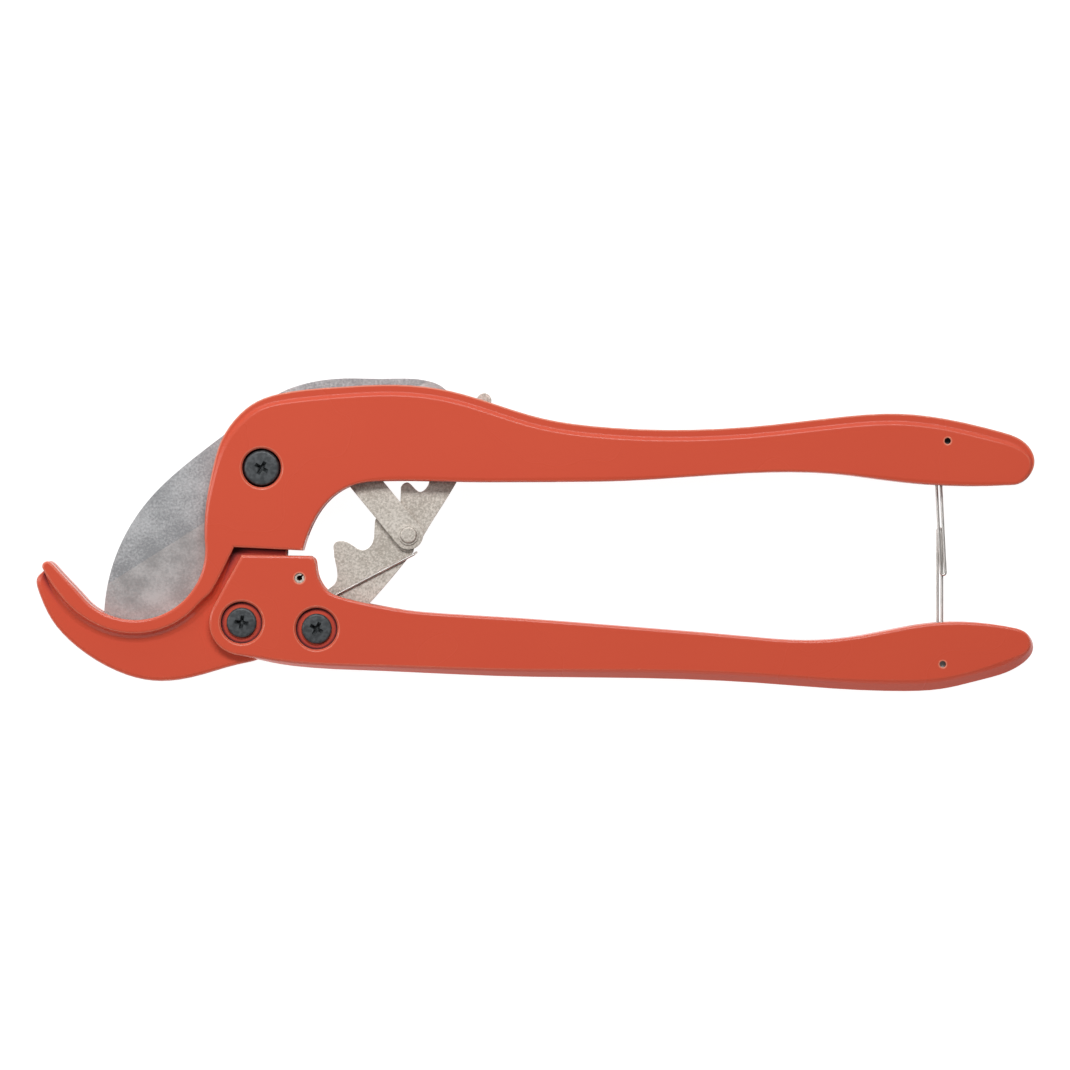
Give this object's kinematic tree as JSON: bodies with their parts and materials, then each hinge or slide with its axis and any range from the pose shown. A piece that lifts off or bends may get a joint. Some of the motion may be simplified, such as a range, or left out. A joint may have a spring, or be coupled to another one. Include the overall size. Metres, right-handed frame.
{
  "type": "plastic pipe cutter",
  "caption": "Long-handled ratchet cutter for plastic pipe: hook jaw, swinging blade, notched feed bar between two cast handles and a wire latch",
  "frame": {"origin": "centre of the tool's bounding box in plan, on the rear face on which it lies", "axes": "+X from the jaw back along the handles, +Y from the lower handle to the upper handle, +Z from the rear face to the front face"},
  "size_m": [0.445, 0.1396, 0.024],
  "materials": {
    "red_paint": "cast aluminium with glossy orange-red paint",
    "blade_steel": "ground blade steel with a smoother bevel",
    "bar_steel": "stamped and tumbled zinc-plated steel",
    "black_steel": "black oxide",
    "spring_wire": "bright drawn wire"
  },
  "bodies": {
    "body": {"body_casting": "red_paint", "blade_pivot_sleeve": "black_steel", "blade_pivot_screw": "black_steel", "handle_pivot_sleeve": "black_steel", "handle_pivot_screw": "black_steel", "upper_latch_pin": "spring_wire"},
    "lower_handle": {"lower_handle": "red_paint", "bar_pivot_sleeve": "black_steel", "bar_pivot_screw": "black_steel", "bar_spacer_front": "bar_steel", "bar_spacer_rear": "bar_steel", "spring_roll_pin": "black_steel", "lower_latch_pin": "spring_wire"},
    "blade": {"blade": "blade_steel"},
    "feed_bar": {"feed_bar": "bar_steel", "bar_spring": "spring_wire", "link_rivet": "bar_steel"},
    "pull_link": {"pull_link": "bar_steel", "link_pin": "bar_steel"},
    "upper_latch": {"upper_latch_loop": "spring_wire"},
    "lower_latch": {"lower_latch_loop": "spring_wire"}
  },
  "joints": [
    {"name": "lower_handle_hinge", "type": "hinge", "parent": "body", "child": "lower_handle", "pos_m": [-0.13065, -0.03921, 0.012], "axis": [0, 0, -1], "range_deg": [0, 60]},
    {"name": "blade_hinge", "type": "hinge", "parent": "body", "child": "blade", "pos_m": [-0.12176, 0.02969, 0.012], "axis": [0, 0, -1], "range_deg": [0, 60]},
    {"name": "feed_bar_hinge", "type": "hinge", "parent": "lower_handle", "child": "feed_bar", "pos_m": [-0.09725, -0.04191, 0.012], "axis": [0, 0, 1], "range_deg": [0, 8.1]},
    {"name": "pull_link_hinge", "type": "hinge", "parent": "feed_bar", "child": "pull_link", "pos_m": [-0.05645, -0.00021, 0.012], "axis": [0, 0, 1], "range_deg": [0, 22.1]},
    {"name": "upper_latch_hinge", "type": "hinge", "parent": "body", "child": "upper_latch", "pos_m": [0.18374, 0.04169, 0.012], "axis": [0, 0, 1], "range_deg": [-25, 25]},
    {"name": "lower_latch_hinge", "type": "hinge", "parent": "lower_handle", "child": "lower_latch", "pos_m": [0.18155, -0.05771, 0.012], "axis": [0, 0, 1], "range_deg": [-25, 25]}
  ],
  "couplings": [
    {"joint": "blade_hinge", "follows": "lower_handle_hinge", "ratio": 1},
    {"joint": "feed_bar_hinge", "follows": "lower_handle_hinge", "ratio": 0.13333},
    {"joint": "pull_link_hinge", "follows": "lower_handle_hinge", "ratio": 0.36667}
  ]
}
